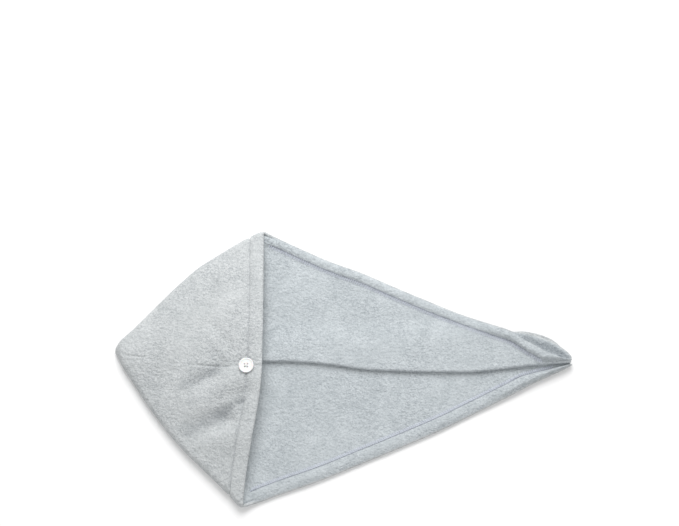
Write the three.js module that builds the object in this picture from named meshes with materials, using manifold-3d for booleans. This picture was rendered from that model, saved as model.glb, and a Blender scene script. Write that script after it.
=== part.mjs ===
// A hair turban towel laid flat. One fleece panel is folded into a pocket hood with a tapering
// tail, its rim turned in and sewn down all round. A four-hole button sits on the hood's seam,
// and the elastic loop that it fastens to lies under the tail's tip.
// Millimetres, +Z up, +X from the hood's nose to the tail's tip, +Y to the upper corner.
import * as THREE from 'three';
import { mergeVertices } from 'three/addons/utils/BufferGeometryUtils.js';
import Module from 'manifold-3d';

const wasm = await Module();
wasm.setup();

// Outline of the towel as it lies
const HOOD_LENGTH = 204;
const TAIL_LENGTH = 433;
const UPPER_REACH = 191;
const LOWER_REACH = 199;
const RIM_LEAN = 18.6;
const RIM_BOW = 3.4;

// The cloth, its folds and its hem
const CLOTH = 2.6;
const LAYER_GAP = 0.6;
const FOLD_RADIUS = 5.7;
const RIM_HEM = 18;
const UPPER_HEM = 14;
const LOWER_HEM = 20;
const FOLDED_HEM = 0.6;
const HEM_STEP = 1.6;
const HEM_ROOM = 0.6;
const HEM_STEP_SHARE = 0.4;
const HEM_COLUMNS = [0.3, 0.6];
const PAST_TURN = 1.3;
const NOSE_RADIUS = 0.8;
const RADIUS_SHARE = 0.17;
const UPPER_TURN_SHARE = 0.25;
const LOWER_TURN_SHARE = 0.3;
const NOSE_PINCH = 0.25;
const PINCH_ENDS = 0.06;
const CORNER_OPENS_OVER = 52;
const PLEAT_DEPTH = 52;
const PLEAT_SLOPE = 45;
const PLEAT_TURNS_FROM = 0.3;
const PLEAT_TURNS_OVER = 0.4;
const PLEAT_DEEPENS_FROM = 0.65;
const SHORTEST_FOLD = 0.8;
const FOLD_AT_NOSE = 2;
const POCKET_RISE = 15;
const RISE_POWER = 0.44;
const CREASE_HEIGHT = 4;
const CREASE_FADE = 4;
const SEAM_GROOVE = 1.7;
const SEAM_WIDTH = 10;
const SEAM_PUFF = 0.25;
const PUFF_FALL = 2;
const GROOVE_FALL = 9;
const TIP_SLOPE = 90;

// The button and its thread
const BUTTON_DIAMETER = 21;
const BUTTON_THICKNESS = 3.4;
const BUTTON_RIM = 2.2;
const BUTTON_DISH = 1.1;
const BUTTON_FROM_RIM = 21.5;
const BUTTON_HOLE = 2;
const HOLE_SPACING = 3.8;
const THREAD = 1;
const THREAD_BEND = 0.6;
const PRESSED_IN = 1.6;
const PRESS_FALL = 2;
const SEAT_RINGS = [0.3, 0.6, 0.8];
const SEAT_PLACES = 24;

// The elastic loop under the tail's tip
const LOOP_CORD = 2;
const LOOP_LENGTH = 48;
const LOOP_WIDTH = 15;
const LOOP_FROM_TIP = 5;
const CLEARANCE = 0.3;

// The hood from nose to rim. Heights in plan are shares of the reach on their own side, and
// seam and fold are shares of the lower reach, counted down from the long axis.
const HOOD = [
  { at: 0.0, upper: 0.128, lower: -0.048, seam: -0.08, fold: -0.075 },
  { at: 0.023, upper: 0.145, lower: -0.018, seam: -0.062, fold: -0.065 },
  { at: 0.06, upper: 0.184, lower: 0.044, seam: -0.04, fold: -0.05 },
  { at: 0.12, upper: 0.247, lower: 0.122, seam: -0.024, fold: -0.04 },
  { at: 0.25, upper: 0.392, lower: 0.29, seam: 0.0, fold: -0.03 },
  { at: 0.4, upper: 0.562, lower: 0.466, seam: 0.028, fold: -0.02 },
  { at: 0.55, upper: 0.71, lower: 0.618, seam: 0.047, fold: -0.012 },
  { at: 0.7, upper: 0.818, lower: 0.746, seam: 0.056, fold: -0.007 },
  { at: 0.85, upper: 0.92, lower: 0.872, seam: 0.057, fold: -0.002 },
  { at: 0.96, upper: 0.982, lower: 0.97, seam: 0.055, fold: 0.001 },
  { at: 0.984, upper: 0.9925, lower: 0.9905, seam: 0.0545, fold: 0.002 },
  { at: 1.0, upper: 0.998, lower: 1.0, seam: 0.054, fold: 0.003 },
];

// The tail from rim to tip. The pleat's fold is a share of the lower reach, its depth of the
// pleat's own depth.
const TAIL = [
  { at: 0.0, upper: 0.998, lower: 1.0, fold: 0.003, depth: 0.3 },
  { at: 0.008, upper: 1.0, lower: 0.9985, fold: 0.0035, depth: 0.31 },
  { at: 0.022, upper: 0.989, lower: 0.991, fold: 0.004, depth: 0.32 },
  { at: 0.11, upper: 0.892, lower: 0.919, fold: 0.006, depth: 0.38 },
  { at: 0.23, upper: 0.767, lower: 0.825, fold: 0.028, depth: 0.47 },
  { at: 0.33, upper: 0.682, lower: 0.734, fold: 0.06, depth: 0.55 },
  { at: 0.45, upper: 0.559, lower: 0.624, fold: 0.073, depth: 0.65 },
  { at: 0.58, upper: 0.43, lower: 0.5, fold: 0.08, depth: 0.77 },
  { at: 0.69, upper: 0.324, lower: 0.381, fold: 0.078, depth: 0.88 },
  { at: 0.82, upper: 0.221, lower: 0.236, fold: 0.05, depth: 1.0 },
  { at: 0.88, upper: 0.19, lower: 0.165, fold: 0.036, depth: 0.93 },
  { at: 0.945, upper: 0.135, lower: 0.098, fold: 0.024, depth: 0.7 },
  { at: 0.982, upper: 0.078, lower: 0.06, fold: 0.017, depth: 0.4 },
  { at: 1.0, upper: 0.044, lower: 0.042, fold: 0.014, depth: 0.22 },
];

// Creases and swells on the pocket's upper face, each along a line. Along is a share of the
// hood's length, across a share of the upper reach, width a share of the hood's length.
const CREASES = [
  { along: 0.82, across: -0.03, toAlong: 0.58, toAcross: -0.17, width: 0.05, height: -0.8 },
  { along: 0.93, across: -0.26, toAlong: 0.78, toAcross: -0.42, width: 0.06, height: -0.8 },
  { along: 0.78, across: -0.42, toAlong: 0.52, toAcross: -0.51, width: 0.075, height: -1.0 },
  { along: 0.9, across: -0.13, toAlong: 0.62, toAcross: -0.32, width: 0.055, height: 0.7 },
  { along: 0.93, across: -0.55, toAlong: 0.63, toAcross: -0.64, width: 0.07, height: 0.6 },
  { along: 0.39, across: -0.1, toAlong: 0.35, toAcross: -0.2, width: 0.05, height: -0.5 },
  { along: 0.81, across: 0.06, toAlong: 0.66, toAcross: 0.26, width: 0.045, height: -0.5 },
  { along: 0.45, across: 0.33, toAlong: 0.42, toAcross: 0.09, width: 0.07, height: 0.4 },
];

// How finely the panel is cut into faces
const HOOD_STEPS = 15;
const TAIL_STEPS = 23;
const EDGE_COLUMNS = 5;
const PANEL_COLUMNS = 4;
const TURN_STEPS = 4;
const EDGE_ROUND_STEPS = 4;
const STEEPEST = 1.8;
const NOSE_ENDS = 0.04;
const NOSE_BLEND = 0.25;
const HOOD_CLOSER = 1.3;
const TAIL_CLOSER = 1.15;
const STATION_ROOM = 0.02;
const FIRST_TAIL_STEP = 0.3;
const SEAM_COLUMNS = [0.1, 0.25, 0.5];

const BUTTON_SIDES = 32;
const HOLE_SIDES = 12;
const THREAD_STEPS = 18;
const THREAD_SIDES = 6;
const LOOP_STEPS = 32;
const LOOP_SIDES = 8;

const TURN_RADIUS = (CLOTH + LAYER_GAP) / 2;
const HALF_CLOTH = CLOTH / 2;
const LENGTH = HOOD_LENGTH + TAIL_LENGTH;
const TIP_LIFT = LOOP_CORD + CLEARANCE;
const COLUMNS = 2 * EDGE_COLUMNS + 2 * PANEL_COLUMNS + 2 * TURN_STEPS + 3;
const LAST = COLUMNS - 1;
const MIDDLE = LAST / 2;

// An eighth turn's share of the radius, from the side of the circle
const EIGHTH = 1 - Math.SQRT1_2;

const clamp = THREE.MathUtils.clamp;
const lerp = THREE.MathUtils.lerp;
const smooth = (value) => THREE.MathUtils.smoothstep(value, 0, 1);

// A smooth value between the rows of a table.
function curve(rows, column, at) {
  const place = clamp(at, 0, 1);
  let k = 0;
  while (k < rows.length - 2 && rows[k + 1].at < place) {
    k += 1;
  }
  const slope = (row) => {
    const before = rows[Math.max(row - 1, 0)];
    const after = rows[Math.min(row + 1, rows.length - 1)];
    return (after[column] - before[column]) / (after.at - before.at);
  };
  const from = rows[k];
  const to = rows[k + 1];
  const span = to.at - from.at;
  const t = (place - from.at) / span;
  const t2 = t * t;
  const t3 = t2 * t;
  return (2 * t3 - 3 * t2 + 1) * from[column] + (t3 - 2 * t2 + t) * span * slope(k)
    + (3 * t2 - 2 * t3) * to[column] + (t3 - t2) * span * slope(k + 1);
}

// The named places of one section. A station runs from 0 at the nose over 1 at the rim to 2 at
// the tip; heights in plan are measured from the long axis.
function section(station) {
  const inHood = station <= 1;
  const rows = inHood ? HOOD : TAIL;
  const at = inHood ? station : station - 1;
  const span = inHood ? HOOD_LENGTH : TAIL_LENGTH;
  const outline = (column, reach) => {
    const step = 0.01;
    const rise = curve(rows, column, at + step) - curve(rows, column, at - step);
    const run = (Math.min(at + step, 1) - Math.max(at - step, 0)) * span;
    const slant = Math.min(Math.hypot(1, rise * reach / run), STEEPEST);
    return { edge: curve(rows, column, at) * reach, slant };
  };
  const upper = outline('upper', UPPER_REACH);
  const lower = outline('lower', LOWER_REACH);
  const opened = inHood ? 0 : smooth(at * TAIL_LENGTH / CORNER_OPENS_OVER);
  const inset = lerp(HALF_CLOTH, CLOTH, opened);
  const top = upper.edge - inset * upper.slant;
  const bottom = -lower.edge + inset * lower.slant;
  const width = top - bottom;
  const radius = Math.min(FOLD_RADIUS, width * RADIUS_SHARE + NOSE_RADIUS);
  return {
    inHood, at, opened, top, bottom, width, radius,
    upperTurn: Math.min(radius * upper.slant, width * UPPER_TURN_SHARE),
    lowerTurn: Math.min(radius * lower.slant, width * LOWER_TURN_SHARE),
    x: inHood
      ? HALF_CLOTH + at * (HOOD_LENGTH - CLOTH - HALF_CLOTH)
      : HOOD_LENGTH - CLOTH + at * TAIL_LENGTH,
    lean: inHood ? at : 1 - at,
    fold: -curve(rows, 'fold', at) * LOWER_REACH,
    seam: -curve(HOOD, 'seam', inHood ? at : 1) * LOWER_REACH,
    depth: inHood ? at * TAIL[0].depth * PLEAT_DEPTH : curve(TAIL, 'depth', at) * PLEAT_DEPTH,
    lift: inHood ? 0 : TIP_LIFT * smooth((at * TAIL_LENGTH - pastLoop()) / TIP_SLOPE),
  };
}

// Where the tail starts to rise over the loop, from the rim.
function pastLoop() {
  return TAIL_LENGTH - LOOP_FROM_TIP - LOOP_LENGTH - TIP_SLOPE - LOOP_CORD;
}

// The rim isn't straight across: it bows out a little and leans back to the lower corner.
function xAcross(part, y) {
  const across = clamp((part.top - y) / part.width, 0, 1);
  const lean = RIM_BOW * Math.sin(Math.PI * across) - RIM_LEAN * smooth(2 * across - 1);
  return part.x + part.lean * lean;
}

// How steeply the pleat's hidden fold runs across the tail, as a stretch of its turn in plan.
function hiddenSlant(at) {
  const step = 0.015;
  const place = (share) => (
    curve(TAIL, 'depth', share) * PLEAT_DEPTH - curve(TAIL, 'fold', share) * LOWER_REACH
  );
  const run = (Math.min(at + step, 1) - Math.max(at - step, 0)) * TAIL_LENGTH;
  return Math.min(Math.hypot(1, (place(at + step) - place(at - step)) / run), STEEPEST);
}

// The pleat in the back layer: the upper panel ends in a turn, goes back under itself and turns
// again into the lower panel. It opens from nothing inside the hood to a flat Z in the tail.
function pleat(part) {
  const slant = part.inHood ? 1 : hiddenSlant(part.at);
  const turned = part.inHood ? smooth((part.at - PLEAT_TURNS_FROM) / PLEAT_TURNS_OVER) : 1;
  const angle = Math.PI * turned;
  const flatStep = SHORTEST_FOLD * (1 - turned);
  const turns = (1 + slant) * (TURN_RADIUS + HALF_CLOTH);
  const deepest = Math.max(part.depth - turns, SHORTEST_FOLD);
  const deepening = smooth((part.at - PLEAT_DEEPENS_FROM) / (1 - PLEAT_DEEPENS_FROM));
  const straight = part.inHood ? lerp(FOLD_AT_NOSE, deepest, deepening) : deepest;
  const stepLength = 2 * TURN_RADIUS * Math.sin(angle / TURN_STEPS / 2) + flatStep;
  const places = [{ y: part.fold + HALF_CLOTH + TURN_RADIUS, z: 0 }];
  const advance = (length, heading, stretch) => {
    const from = places[places.length - 1];
    const across = stretch * length * Math.cos(heading);
    places.push({ y: from.y - across, z: from.z - length * Math.sin(heading) });
  };
  for (let k = 0; k < TURN_STEPS; k += 1) {
    advance(stepLength, angle * (k + 0.5) / TURN_STEPS, 1);
  }
  advance(straight / 2, angle, 1);
  advance(straight / 2, angle, 1);
  for (let k = TURN_STEPS - 1; k >= 0; k -= 1) {
    advance(stepLength, angle * (k + 0.5) / TURN_STEPS, slant);
  }
  const height = -places[places.length - 1].z;
  places.forEach((place) => {
    place.z += height;
  });
  const hidden = Math.max(...places.map((place) => place.y)) + HALF_CLOTH * slant;
  return { places, height, hidden };
}

// The columns at one edge of the back layer, from the edge in: the fold's lower quarter turn in
// the hood, which opens out into the flat hem in the tail.
function edgeColumns(part, turn, hem) {
  const step = Math.min(HEM_STEP, HEM_STEP_SHARE * hem);
  const line = lerp(Math.max(hem, PAST_TURN * turn), hem, part.opened);
  const round = part.radius * (1 - part.opened);
  return [
    { inset: 0, z: round, hem: lerp(FOLDED_HEM, 1, part.opened) },
    { inset: lerp(EIGHTH * turn, HEM_COLUMNS[0] * hem, part.opened), z: EIGHTH * round, hem: 1 },
    { inset: lerp(turn, HEM_COLUMNS[1] * hem, part.opened), z: 0, hem: 1 },
    { inset: line - step / 2, z: 0, hem: 1 },
    { inset: line + step / 2, z: 0, hem: 0 },
  ];
}

// Blends a row of columns into evenly spaced ones towards the nose, where there is no room.
function spreadAtNose(part, columns, first, last) {
  const own = smooth((part.at - NOSE_ENDS) / NOSE_BLEND);
  if (!part.inHood || own >= 1) {
    return;
  }
  const from = columns[first].y;
  const to = columns[last].y;
  for (let k = first; k <= last; k += 1) {
    columns[k].y = lerp(lerp(from, to, (k - first) / (last - first)), columns[k].y, own);
  }
}

function backColumns(part) {
  const z = pleat(part);
  const upperRoom = part.top - z.places[0].y;
  const lowerRoom = part.fold - part.bottom;
  const upperHem = Math.min(lerp(RIM_HEM, UPPER_HEM, part.opened), HEM_ROOM * upperRoom);
  const lowerHem = Math.min(lerp(RIM_HEM, LOWER_HEM, part.opened), HEM_ROOM * lowerRoom);
  const hemHere = part.inHood ? Number((1 - part.at) * HOOD_LENGTH <= RIM_HEM) : 1;
  const settled = (y) => z.height * (1 - smooth((y - z.hidden - TURN_RADIUS) / PLEAT_SLOPE));
  const columns = [];
  edgeColumns(part, part.upperTurn, upperHem).forEach((column) => {
    const y = part.top - column.inset;
    columns.push({ y, z: column.z + settled(y), hem: column.hem * hemHere });
  });
  const spread = (from, to, count, height) => {
    for (let k = 1; k <= count; k += 1) {
      const y = lerp(from, to, k / (count + 1));
      columns.push({ y, z: height(y), hem: 0 });
    }
  };
  const hemLine = columns[EDGE_COLUMNS - 1].y;
  const overPleat = Math.min(z.hidden + TURN_RADIUS, lerp(z.places[0].y, hemLine, HEM_ROOM));
  spread(hemLine, overPleat, PANEL_COLUMNS - 2, settled);
  columns.push({ y: overPleat, z: settled(overPleat), hem: 0 });
  spread(overPleat, z.places[0].y, 1, settled);
  z.places.forEach((place) => columns.push({ y: place.y, z: place.z, hem: 0 }));
  const lowerEdge = edgeColumns(part, part.lowerTurn, lowerHem).map((column) => (
    { y: part.bottom + column.inset, z: column.z, hem: column.hem * hemHere }
  ));
  spread(z.places[z.places.length - 1].y, lowerEdge[EDGE_COLUMNS - 1].y, PANEL_COLUMNS, () => 0);
  columns.push(...lowerEdge.reverse());
  spreadAtNose(part, columns, 2, LAST - 2);
  return columns;
}

// Height of the pocket's upper layer above the back layer, at the middle of the cloth.
function pocketHeight(part, x, y) {
  const across = clamp((part.top - y) / part.width, 0, 1);
  const rise = POCKET_RISE * Math.pow(part.at, RISE_POWER) * Math.sin(Math.PI * across);
  let height = 2 * part.radius + rise;
  const nearEdge = smooth(CREASE_FADE * across) * smooth(CREASE_FADE * (1 - across));
  const fade = nearEdge * smooth(CREASE_FADE * part.at);
  CREASES.forEach((crease) => {
    const from = new THREE.Vector2(crease.along * HOOD_LENGTH, crease.across * UPPER_REACH);
    const to = new THREE.Vector2(crease.toAlong * HOOD_LENGTH, crease.toAcross * UPPER_REACH);
    const line = to.clone().sub(from);
    const place = new THREE.Vector2(x, y).sub(from);
    const along = clamp(place.dot(line) / line.lengthSq(), 0, 1);
    const away = place.sub(line.multiplyScalar(along)).length() / (crease.width * HOOD_LENGTH);
    height += fade * CREASE_HEIGHT * crease.height * Math.exp(-away * away);
  });
  const button = buttonPlace();
  const pressed = Math.hypot(x - button.x, y - button.y) / BUTTON_DIAMETER;
  return height - PRESSED_IN * Math.exp(-pressed * pressed * PRESS_FALL);
}

// Middle of the button in plan, on the seam, a set way in from the rim.
function buttonPlace() {
  const at = 1 - BUTTON_FROM_RIM / HOOD_LENGTH;
  return { x: HOOD_LENGTH + RIM_BOW - BUTTON_FROM_RIM, y: -curve(HOOD, 'seam', at) * LOWER_REACH };
}

// The seam is a narrow groove between two low swells.
function grooveAt(offset) {
  const away = Math.abs(offset) / (SEAM_WIDTH / 2);
  const puff = SEAM_PUFF * Math.exp(-away * away * PUFF_FALL);
  return SEAM_GROOVE * (puff - Math.exp(-away * away * GROOVE_FALL));
}

function frontColumns(part) {
  const room = Math.min(1, (part.width / 2 - part.upperTurn) / SEAM_WIDTH);
  const hem = Number((1 - part.at) * HOOD_LENGTH <= RIM_HEM);
  const columns = Array.from({ length: COLUMNS }, () => ({ y: 0, z: 0, hem }));
  columns[0].y = part.top;
  columns[1].y = part.top - EIGHTH * part.upperTurn;
  columns[2].y = part.top - part.upperTurn;
  columns[MIDDLE].y = part.seam;
  SEAM_COLUMNS.forEach((share, k) => {
    columns[MIDDLE - 1 - k].y = part.seam + share * SEAM_WIDTH * room;
    columns[MIDDLE + 1 + k].y = part.seam - share * SEAM_WIDTH * room;
  });
  columns[LAST - 2].y = part.bottom + part.lowerTurn;
  columns[LAST - 1].y = part.bottom + EIGHTH * part.lowerTurn;
  columns[LAST].y = part.bottom;
  const outer = MIDDLE - SEAM_COLUMNS.length;
  for (let k = 3; k < outer; k += 1) {
    const share = (k - 2) / (outer - 2);
    columns[k].y = lerp(columns[2].y, columns[outer].y, share);
    columns[LAST - k].y = lerp(columns[LAST - 2].y, columns[LAST - outer].y, share);
  }
  spreadAtNose(part, columns, 2, LAST - 2);
  columns.forEach((column, k) => {
    const height = pocketHeight(part, xAcross(part, column.y), column.y);
    const seamStarts = smooth((part.at - NOSE_ENDS) / (NOSE_BLEND - NOSE_ENDS));
    column.z = height + grooveAt(column.y - part.seam) * seamStarts;
    if (k === 1 || k === LAST - 1) {
      column.z -= EIGHTH * part.radius;
      column.hem *= FOLDED_HEM;
    }
  });
  return columns;
}

// The whole panel as the middle surface of the cloth: points, each with its hem share, and
// faces that turn their outside out.
function panel() {
  const points = [];
  const faces = [];
  const put = (part, column) => {
    const place = new THREE.Vector3(xAcross(part, column.y), column.y, column.z);
    place.z += HALF_CLOTH + part.lift;
    const pinched = part.inHood ? NOSE_PINCH * (1 - smooth(part.at / PINCH_ENDS)) : 0;
    points.push({ place, hem: column.hem - pinched });
    return points.length - 1;
  };
  const hemStations = [-0.5, 0.5].map((side) => 1 - (RIM_HEM + side * HEM_STEP) / HOOD_LENGTH);
  const stations = [...hemStations];
  for (let k = 0; k <= HOOD_STEPS; k += 1) {
    const station = Math.pow(k / HOOD_STEPS, HOOD_CLOSER);
    if (k === HOOD_STEPS || station < hemStations[1] - STATION_ROOM) {
      stations.push(station);
    }
  }
  stations.push(1 - RIM_HEM / 2 / HOOD_LENGTH);
  for (let k = 1; k <= TAIL_STEPS; k += 1) {
    stations.push(2 - Math.pow(1 - k / TAIL_STEPS, TAIL_CLOSER));
  }
  stations.push(1 + FIRST_TAIL_STEP / TAIL_STEPS);
  stations.sort((a, b) => a - b);
  const back = [];
  const front = [];
  stations.forEach((station) => {
    const part = section(station);
    const row = backColumns(part).map((column) => put(part, column));
    back.push(row);
    if (station <= 1) {
      const upper = frontColumns(part);
      front.push(row.map((index, k) => (k === 0 || k === LAST ? index : put(part, upper[k]))));
    }
  });
  for (let i = 0; i < back.length - 1; i += 1) {
    for (let j = 0; j < LAST; j += 1) {
      faces.push([back[i][j], back[i + 1][j], back[i + 1][j + 1], back[i][j + 1]]);
      if (i < front.length - 1) {
        faces.push([front[i][j], front[i][j + 1], front[i + 1][j + 1], front[i + 1][j]]);
      }
    }
  }
  for (let j = 0; j < LAST; j += 1) {
    const around = [back[0][j], back[0][j + 1], front[0][j + 1], front[0][j]];
    faces.push(around.filter((index, k) => around.indexOf(index) === k));
  }
  return { points, faces };
}

// Gives the middle surface its thickness: half the cloth to the outside, half to the inside,
// one cloth more to the inside where the hem is turned in, and a half-round along every edge.
function thicken({ points, faces }) {
  const triangles = [];
  faces.forEach((face) => {
    for (let k = 1; k < face.length - 1; k += 1) {
      triangles.push([face[0], face[k], face[k + 1]]);
    }
  });
  const normals = points.map(() => new THREE.Vector3());
  const edges = new Map();
  triangles.forEach((corners) => {
    const [a, b, c] = corners.map((index) => points[index].place);
    const normal = b.clone().sub(a).cross(c.clone().sub(a));
    corners.forEach((index, k) => {
      normals[index].add(normal);
      edges.set(`${index} ${corners[(k + 1) % 3]}`, [index, corners[(k + 1) % 3]]);
    });
  });
  normals.forEach((normal) => normal.normalize());
  const rimEdges = [...edges.values()].filter(([from, to]) => !edges.has(`${to} ${from}`));
  const outward = new Map();
  rimEdges.forEach(([from, to]) => {
    const run = points[to].place.clone().sub(points[from].place).normalize();
    [from, to].forEach((index) => {
      const sum = outward.get(index) ?? new THREE.Vector3();
      outward.set(index, sum.add(run.clone().cross(normals[index])));
    });
  });
  const vertices = [];
  const add = (place) => vertices.push(place) - 1;
  const offset = (index, distance) => (
    points[index].place.clone().addScaledVector(normals[index], distance)
  );
  const outer = points.map((point, index) => add(offset(index, HALF_CLOTH)));
  const inner = points.map((point, index) => add(offset(index, -HALF_CLOTH - point.hem * CLOTH)));
  const rounds = new Map();
  outward.forEach((direction, index) => {
    const from = vertices[outer[index]];
    const centre = from.clone().lerp(vertices[inner[index]], 0.5);
    const arm = from.clone().sub(centre);
    const bulge = direction.normalize().multiplyScalar(arm.length());
    const round = [outer[index]];
    for (let k = 1; k < EDGE_ROUND_STEPS; k += 1) {
      const angle = Math.PI * k / EDGE_ROUND_STEPS;
      const place = centre.clone().addScaledVector(arm, Math.cos(angle));
      round.push(add(place.addScaledVector(bulge, Math.sin(angle))));
    }
    round.push(inner[index]);
    rounds.set(index, round);
  });
  const solid = [];
  triangles.forEach(([a, b, c]) => {
    solid.push(outer[a], outer[b], outer[c], inner[a], inner[c], inner[b]);
  });
  rimEdges.forEach(([from, to]) => {
    const one = rounds.get(from);
    const two = rounds.get(to);
    for (let k = 0; k < EDGE_ROUND_STEPS; k += 1) {
      solid.push(two[k], one[k], one[k + 1], two[k], one[k + 1], two[k + 1]);
    }
  });
  const geometry = new THREE.BufferGeometry();
  const position = new Float32Array(vertices.flatMap((vertex) => vertex.toArray()));
  geometry.setAttribute('position', new THREE.BufferAttribute(position, 3));
  geometry.setIndex(solid);
  return geometry;
}

function toSolid(geometry) {
  const bare = geometry.clone();
  bare.deleteAttribute('normal');
  bare.deleteAttribute('uv');
  const merged = mergeVertices(bare, 1e-4);
  return new wasm.Manifold(new wasm.Mesh({
    numProp: 3,
    vertProperties: new Float32Array(merged.attributes.position.array),
    triVerts: new Uint32Array(merged.index.array),
  }));
}

function toGeometry(solid) {
  const mesh = solid.getMesh();
  const geometry = new THREE.BufferGeometry();
  geometry.setAttribute('position', new THREE.BufferAttribute(mesh.vertProperties, 3));
  geometry.setIndex(new THREE.BufferAttribute(mesh.triVerts, 1));
  return geometry;
}

// A round cord along a curve, closed at both ends.
function cord(path, diameter, steps, sides) {
  const ring = new THREE.Shape();
  for (let k = 0; k < sides; k += 1) {
    const angle = 2 * Math.PI * k / sides;
    const corner = [diameter / 2 * Math.cos(angle), diameter / 2 * Math.sin(angle)];
    if (k === 0) {
      ring.moveTo(...corner);
    } else {
      ring.lineTo(...corner);
    }
  }
  ring.closePath();
  return new THREE.ExtrudeGeometry(ring, { steps, extrudePath: path, bevelEnabled: false });
}

function holePlaces() {
  const half = HOLE_SPACING / 2;
  return [[half, half], [-half, half], [-half, -half], [half, -half]];
}

// The button lies flat, its underside at z = 0.
function buttonGeometry() {
  const radius = BUTTON_DIAMETER / 2;
  const dishRadius = radius - BUTTON_RIM;
  const dishFloor = BUTTON_THICKNESS - BUTTON_DISH;
  const profile = [
    { out: 0, up: 0 },
    { out: radius * 0.8, up: 0 },
    { out: radius * 0.93, up: BUTTON_THICKNESS * 0.12 },
    { out: radius, up: BUTTON_THICKNESS * 0.4 },
    { out: radius * 0.985, up: BUTTON_THICKNESS * 0.72 },
    { out: radius * 0.94, up: BUTTON_THICKNESS * 0.94 },
    { out: radius - BUTTON_RIM * 0.5, up: BUTTON_THICKNESS },
    { out: dishRadius + BUTTON_RIM * 0.2, up: BUTTON_THICKNESS - BUTTON_DISH * 0.2 },
    { out: dishRadius, up: BUTTON_THICKNESS - BUTTON_DISH * 0.6 },
    { out: dishRadius * 0.85, up: dishFloor + BUTTON_DISH * 0.08 },
    { out: dishRadius * 0.65, up: dishFloor },
    { out: 0, up: dishFloor },
  ];
  const outline = profile.map(({ out, up }) => new THREE.Vector2(out, up));
  const turned = new THREE.LatheGeometry(outline, BUTTON_SIDES);
  turned.rotateX(Math.PI / 2);
  let solid = toSolid(turned);
  holePlaces().forEach(([x, y]) => {
    const drill = new THREE.CylinderGeometry(
      BUTTON_HOLE / 2, BUTTON_HOLE / 2, 3 * BUTTON_THICKNESS, HOLE_SIDES,
    );
    drill.rotateX(Math.PI / 2);
    drill.translate(x, y, 0);
    solid = solid.subtract(toSolid(drill));
  });
  return toGeometry(solid);
}

// Two stitches crossed over the dish, each down through two holes to just above the cloth.
function threadGeometry(legLength) {
  const top = BUTTON_THICKNESS - BUTTON_DISH + CLEARANCE + THREAD / 2;
  const corners = holePlaces();
  const stitch = ([x0, y0], [x1, y1]) => {
    const bend = THREAD * THREAD_BEND;
    const reach = Math.hypot(x1 - x0, y1 - y0);
    const along = (share, z) => new THREE.Vector3(lerp(x0, x1, share), lerp(y0, y1, share), z);
    const share = bend / reach;
    const path = new THREE.CurvePath();
    path.add(new THREE.LineCurve3(along(0, -legLength), along(0, top - bend)));
    path.add(new THREE.QuadraticBezierCurve3(along(0, top - bend), along(0, top), along(share, top)));
    path.add(new THREE.LineCurve3(along(share, top), along(1 - share, top)));
    path.add(new THREE.QuadraticBezierCurve3(along(1 - share, top), along(1, top), along(1, top - bend)));
    path.add(new THREE.LineCurve3(along(1, top - bend), along(1, -legLength)));
    return toSolid(cord(path, THREAD, THREAD_STEPS, THREAD_SIDES));
  };
  return toGeometry(stitch(corners[0], corners[2]).add(stitch(corners[1], corners[3])));
}

// A teardrop of elastic cord lying on the surface, both ends at the tail's tip.
function loopGeometry() {
  const tip = LENGTH - LOOP_FROM_TIP;
  const route = [
    { along: 0, across: 0.1 },
    { along: 0.3, across: 0.2 },
    { along: 0.6, across: 0.42 },
    { along: 0.85, across: 0.44 },
    { along: 1, across: 0 },
  ];
  const wide = LOOP_WIDTH - LOOP_CORD;
  const one = route.map(({ along, across }) => (
    new THREE.Vector3(tip - along * LOOP_LENGTH, across * wide, LOOP_CORD / 2)
  ));
  const other = one.slice(0, -1).reverse().map((place) => (
    new THREE.Vector3(place.x, -place.y, place.z)
  ));
  const path = new THREE.CatmullRomCurve3([...one, ...other]);
  return cord(path, LOOP_CORD, LOOP_STEPS, LOOP_SIDES);
}

// Height of the pocket's upper face at the middle of the cloth, at a place in plan.
function faceHeight(x, y) {
  const part = section(clamp((x - RIM_BOW) / (HOOD_LENGTH - CLOTH), 0, 1));
  return HALF_CLOTH + pocketHeight(part, x, y) + grooveAt(y - part.seam) + HALF_CLOTH;
}

// The button's seat is the highest place of the cloth under it.
function buttonSeat() {
  const { x, y } = buttonPlace();
  let highest = faceHeight(x, y);
  for (let k = 0; k < SEAT_PLACES; k += 1) {
    const angle = 2 * Math.PI * k / SEAT_PLACES;
    SEAT_RINGS.forEach((share) => {
      const reach = share * BUTTON_DIAMETER / 2;
      const here = faceHeight(x + reach * Math.cos(angle), y + reach * Math.sin(angle));
      highest = Math.max(highest, here);
    });
  }
  return highest + CLEARANCE;
}

const fleece = new THREE.MeshStandardMaterial({ color: 0xc9cdcf, roughness: 1, metalness: 0 });
const polyester = new THREE.MeshStandardMaterial({ color: 0xf4f3ef, roughness: 0.25, metalness: 0 });
const cotton = new THREE.MeshStandardMaterial({ color: 0xeeeeea, roughness: 0.9, metalness: 0 });
const elastic = new THREE.MeshStandardMaterial({ color: 0xb9bdc1, roughness: 0.85, metalness: 0 });

function named(name, geometry, material) {
  const mesh = new THREE.Mesh(geometry, material);
  mesh.name = name;
  return mesh;
}

const towel = new THREE.Group();
towel.position.set(-LENGTH / 2, (LOWER_REACH - UPPER_REACH) / 2, 0);
towel.add(named('fleece_body', thicken(panel()), fleece));

const seat = buttonSeat();
const { x: buttonX, y: buttonY } = buttonPlace();
const holeFloor = Math.max(...holePlaces().map(([x, y]) => faceHeight(buttonX + x, buttonY + y)));
const button = new THREE.Group();
button.position.set(buttonX, buttonY, seat);
button.add(named('button', buttonGeometry(), polyester));
button.add(named('button_thread', threadGeometry(seat - holeFloor - CLEARANCE), cotton));
towel.add(button);
towel.add(named('elastic_loop', loopGeometry(), elastic));

export default towel;
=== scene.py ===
"""A light grey fleece hair turban towel laid flat on a pale floor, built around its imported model."""
import math
from types import SimpleNamespace

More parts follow.
